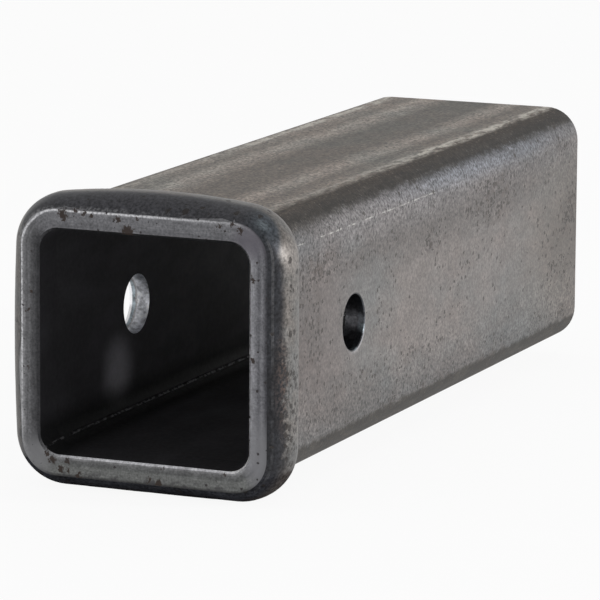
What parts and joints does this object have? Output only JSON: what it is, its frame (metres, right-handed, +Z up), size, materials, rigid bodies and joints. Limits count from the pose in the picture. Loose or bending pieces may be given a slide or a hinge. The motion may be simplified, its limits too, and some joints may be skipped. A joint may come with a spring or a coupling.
{
  "type": "receiver tube",
  "caption": "Square steel receiver tube with a forged rounded lip at its mouth and a cross-drilled hole for a hitch pin.",
  "frame": {"origin": "where the pin hole's axis crosses the tube's centreline", "axes": "+X along the pin hole, +Y from the mouth to the sawn rear end, +Z up"},
  "size_m": [0.0865, 0.254, 0.087],
  "materials": {
    "raw_steel": "raw mill scale, mouth face ground"
  },
  "bodies": {
    "root": {"receiver_tube": "raw_steel"}
  },
  "joints": []
}
